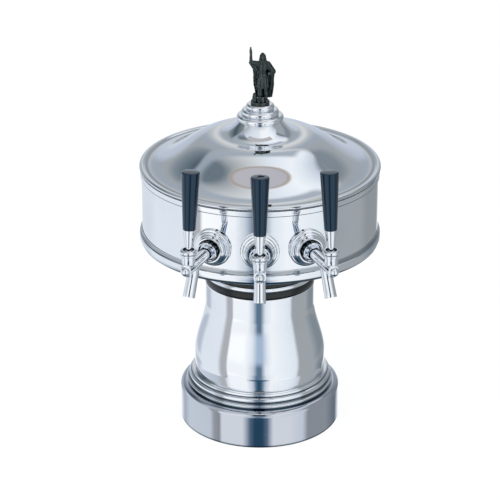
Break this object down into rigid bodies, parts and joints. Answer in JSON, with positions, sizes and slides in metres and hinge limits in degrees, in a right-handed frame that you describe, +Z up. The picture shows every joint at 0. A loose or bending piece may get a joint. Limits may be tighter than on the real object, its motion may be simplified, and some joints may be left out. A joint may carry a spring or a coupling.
{
  "type": "beer tower dispenser",
  "caption": "Chromed mushroom tap tower: round foot, bell column, drum with lever faucets, domed lid and a small bronze figure on stepped rings.",
  "frame": {"origin": "centre of the foot's underside, where the tower stands on the counter", "axes": "+Z up the column's axis, -Y towards the faucets, +X to the right seen from the front"},
  "size_m": [0.3072, 0.3894, 0.5072],
  "materials": {
    "chrome": "polished",
    "black_ring": "satin",
    "rubber": "matte",
    "steel": "brushed",
    "brass": "machined",
    "copper": "drawn tube",
    "bronze": "dark patina",
    "handle_plastic": "gloss",
    "foam": "matte",
    "line_plastic": "satin",
    "nylon": "satin"
  },
  "bodies": {
    "root": {"foot_casting": "chrome", "base_moulding": "chrome", "column_shell": "chrome", "neck_ring": "chrome", "drum_pan": "chrome", "lower_moulding": "chrome", "drum_wall": "chrome", "upper_band": "chrome", "lid": "chrome", "finial_pedestal": "chrome", "lower_neck_gasket": "black_ring", "upper_neck_gasket": "black_ring", "foot_gasket": "rubber", "lid_seal": "rubber", "foam_sleeve": "foam", "line_block": "nylon", "draw_rod": "steel", "neck_bridge": "steel", "rod_nut": "steel", "figure": "bronze", "chill_loop": "copper", "shank_flange_left": "chrome", "coupling_nut_left": "chrome", "faucet_body_left": "chrome", "bonnet_left": "chrome", "shank_left": "steel", "shank_nut_left": "brass", "line_connector_left": "brass", "beer_line_left": "line_plastic", "shank_flange_center": "chrome", "coupling_nut_center": "chrome", "faucet_body_center": "chrome", "bonnet_center": "chrome", "shank_center": "steel", "shank_nut_center": "brass", "line_connector_center": "brass", "beer_line_center": "line_plastic", "shank_flange_right": "chrome", "coupling_nut_right": "chrome", "faucet_body_right": "chrome", "bonnet_right": "chrome", "shank_right": "steel", "shank_nut_right": "brass", "line_connector_right": "brass", "beer_line_right": "line_plastic"},
    "lever_left": {"lever_left": "steel", "ferrule_left": "chrome", "handle_left": "handle_plastic"},
    "plunger_left": {"plunger_left": "steel", "plunger_seal_left": "rubber"},
    "lever_center": {"lever_center": "steel", "ferrule_center": "chrome", "handle_center": "handle_plastic"},
    "plunger_center": {"plunger_center": "steel", "plunger_seal_center": "rubber"},
    "lever_right": {"lever_right": "steel", "ferrule_right": "chrome", "handle_right": "handle_plastic"},
    "plunger_right": {"plunger_right": "steel", "plunger_seal_right": "rubber"}
  },
  "joints": [
    {"name": "handle_swing_left", "type": "hinge", "parent": "root", "child": "lever_left", "pos_m": [-0.08457, -0.20418, 0.316], "axis": [0.9239, -0.3827, 0], "range_deg": [0, 23]},
    {"name": "plunger_slide_left", "type": "slide", "parent": "root", "child": "plunger_left", "axis": [0.3827, 0.9239, 0], "range_m": [0, 0.0077]},
    {"name": "handle_swing_center", "type": "hinge", "parent": "root", "child": "lever_center", "pos_m": [0, -0.221, 0.316], "axis": [1, 0, 0], "range_deg": [0, 23]},
    {"name": "plunger_slide_center", "type": "slide", "parent": "root", "child": "plunger_center", "axis": [0, 1, 0], "range_m": [0, 0.0077]},
    {"name": "handle_swing_right", "type": "hinge", "parent": "root", "child": "lever_right", "pos_m": [0.08457, -0.20418, 0.316], "axis": [0.9239, 0.3827, 0], "range_deg": [0, 23]},
    {"name": "plunger_slide_right", "type": "slide", "parent": "root", "child": "plunger_right", "axis": [-0.3827, 0.9239, 0], "range_m": [0, 0.0077]}
  ],
  "couplings": [
    {"joint": "plunger_slide_left", "follows": "handle_swing_left", "m_per_rad": 0.018751},
    {"joint": "plunger_slide_center", "follows": "handle_swing_center", "m_per_rad": 0.018751},
    {"joint": "plunger_slide_right", "follows": "handle_swing_right", "m_per_rad": 0.018751}
  ]
}
